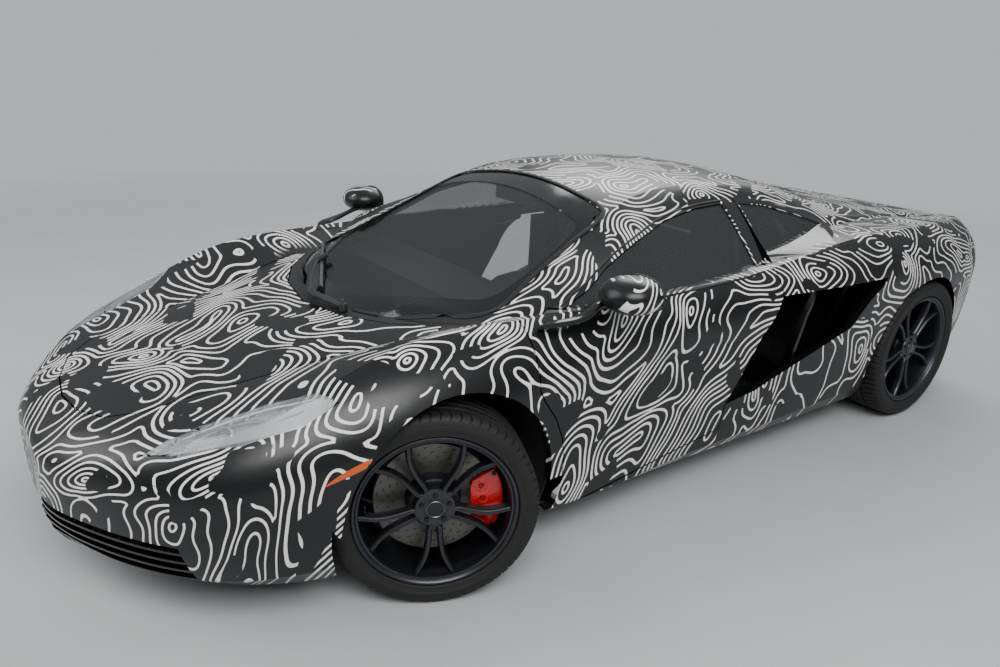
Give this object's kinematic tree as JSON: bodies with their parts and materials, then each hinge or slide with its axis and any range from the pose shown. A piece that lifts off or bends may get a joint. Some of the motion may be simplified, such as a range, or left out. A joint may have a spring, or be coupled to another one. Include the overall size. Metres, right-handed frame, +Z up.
{
  "type": "mid-engined two-seat supercar",
  "caption": "Low mid-engined supercar with a contour-line wrap, upward-swinging doors, opening lids, air brake, steered and rolling wheels.",
  "frame": {"origin": "on the ground, centre of the plan bounding box", "axes": "+X forward, +Y to the car's left, +Z up"},
  "size_m": [4.509, 2.1088, 1.1997],
  "materials": {
    "aluminium": "satin",
    "black_trim": "satin",
    "caliper_red": "gloss",
    "carbon": "satin",
    "dark_alloy": "satin",
    "glass": "gloss",
    "gloss_black": "gloss",
    "lamp": "gloss",
    "lamp_red": "gloss",
    "leather": "matte",
    "liner": "matte",
    "steel": "satin",
    "tyre": "matte",
    "wrap": "satin"
  },
  "bodies": {
    "car_body": {"tub": "carbon", "undertray": "black_trim", "front_boot": "liner", "rear_frame": "aluminium", "engine": "aluminium", "front_bumper": "wrap", "intake_slats": "gloss_black", "headlamps": "lamp", "fender_left": "wrap", "fender_right": "wrap", "cowl": "black_trim", "windscreen": "glass", "roof": "wrap", "quarter_windows": "glass", "side_skirts": "wrap", "rear_quarter_left": "wrap", "rear_quarter_right": "wrap", "tail_panel": "wrap", "tail_lamps": "lamp_red", "diffuser": "carbon", "exhausts": "steel", "front_arms": "aluminium", "rear_arms": "aluminium", "rear_uprights": "aluminium", "rear_calipers": "black_trim", "arch_liners": "liner", "dashboard": "leather", "seats": "leather", "cabin_mirror": "gloss_black", "wiper": "black_trim", "intake_ducts": "gloss_black"},
    "bonnet": {"bonnet": "wrap"},
    "engine_cover": {"engine_cover": "wrap", "cover_glass": "glass"},
    "air_brake": {"air_brake": "wrap"},
    "door_left": {"door_left": "wrap", "door_glass_left": "glass", "mirror_left": "wrap"},
    "door_right": {"door_right": "wrap", "door_glass_right": "glass", "mirror_right": "wrap"},
    "steering_wheel": {"steering_wheel": "leather"},
    "knuckle_left": {"knuckle_left": "aluminium", "front_caliper_left": "caliper_red"},
    "knuckle_right": {"knuckle_right": "aluminium", "front_caliper_right": "caliper_red"},
    "wheel_front_left": {"tyre_front_left": "tyre", "rim_front_left": "dark_alloy"},
    "wheel_front_right": {"tyre_front_right": "tyre", "rim_front_right": "dark_alloy"},
    "wheel_rear_left": {"tyre_rear_left": "tyre", "rim_rear_left": "dark_alloy"},
    "wheel_rear_right": {"tyre_rear_right": "tyre", "rim_rear_right": "dark_alloy"}
  },
  "joints": [
    {"name": "steer_left", "type": "hinge", "parent": "car_body", "child": "knuckle_left", "pos_m": [1.2295, 0.758, 0.3235], "axis": [0, 0, 1], "range_deg": [-7, 57]},
    {"name": "steer_right", "type": "hinge", "parent": "car_body", "child": "knuckle_right", "pos_m": [1.2295, -0.758, 0.3235], "axis": [0, 0, 1], "range_deg": [-7, 57]},
    {"name": "steering_wheel_turn", "type": "hinge", "parent": "car_body", "child": "steering_wheel", "pos_m": [0.3, 0.37, 0.716], "axis": [-0.9135, 0, 0.4067], "range_deg": [-84, 684]},
    {"name": "roll_front_left", "type": "hinge", "parent": "knuckle_left", "child": "wheel_front_left", "pos_m": [1.25908, 0.82144, 0.3235], "axis": [0.4226, 0.9063, 0], "continuous": true},
    {"name": "roll_front_right", "type": "hinge", "parent": "knuckle_right", "child": "wheel_front_right", "pos_m": [1.19992, -0.82144, 0.3235], "axis": [0.4226, 0.9063, 0], "continuous": true},
    {"name": "roll_rear_left", "type": "hinge", "parent": "car_body", "child": "wheel_rear_left", "pos_m": [-1.4405, 0.7915, 0.3455], "axis": [0, 1, 0], "continuous": true},
    {"name": "roll_rear_right", "type": "hinge", "parent": "car_body", "child": "wheel_rear_right", "pos_m": [-1.4405, -0.7915, 0.3455], "axis": [0, 1, 0], "continuous": true},
    {"name": "open_door_left", "type": "hinge", "parent": "car_body", "child": "door_left", "pos_m": [1.056, 0.891, 0.7], "axis": [0.4694, 0.227, -0.8533], "range_deg": [0, 65]},
    {"name": "open_door_right", "type": "hinge", "parent": "car_body", "child": "door_right", "pos_m": [1.056, -0.891, 0.7], "axis": [-0.4694, 0.227, 0.8533], "range_deg": [0, 65]},
    {"name": "open_bonnet", "type": "hinge", "parent": "car_body", "child": "bonnet", "pos_m": [0.94, 0, 0.8], "axis": [0, -1, 0], "range_deg": [0, 60]},
    {"name": "open_engine_cover", "type": "hinge", "parent": "car_body", "child": "engine_cover", "pos_m": [-0.7, 0, 1.155], "axis": [0, 1, 0], "range_deg": [0, 55]},
    {"name": "raise_air_brake", "type": "hinge", "parent": "car_body", "child": "air_brake", "pos_m": [-1.846, 0, 0.915], "axis": [0, 1, 0], "range_deg": [0, 60]}
  ],
  "couplings": [
    {"joint": "steer_right", "follows": "steer_left", "ratio": 1},
    {"joint": "steering_wheel_turn", "follows": "steer_left", "ratio": 12}
  ]
}
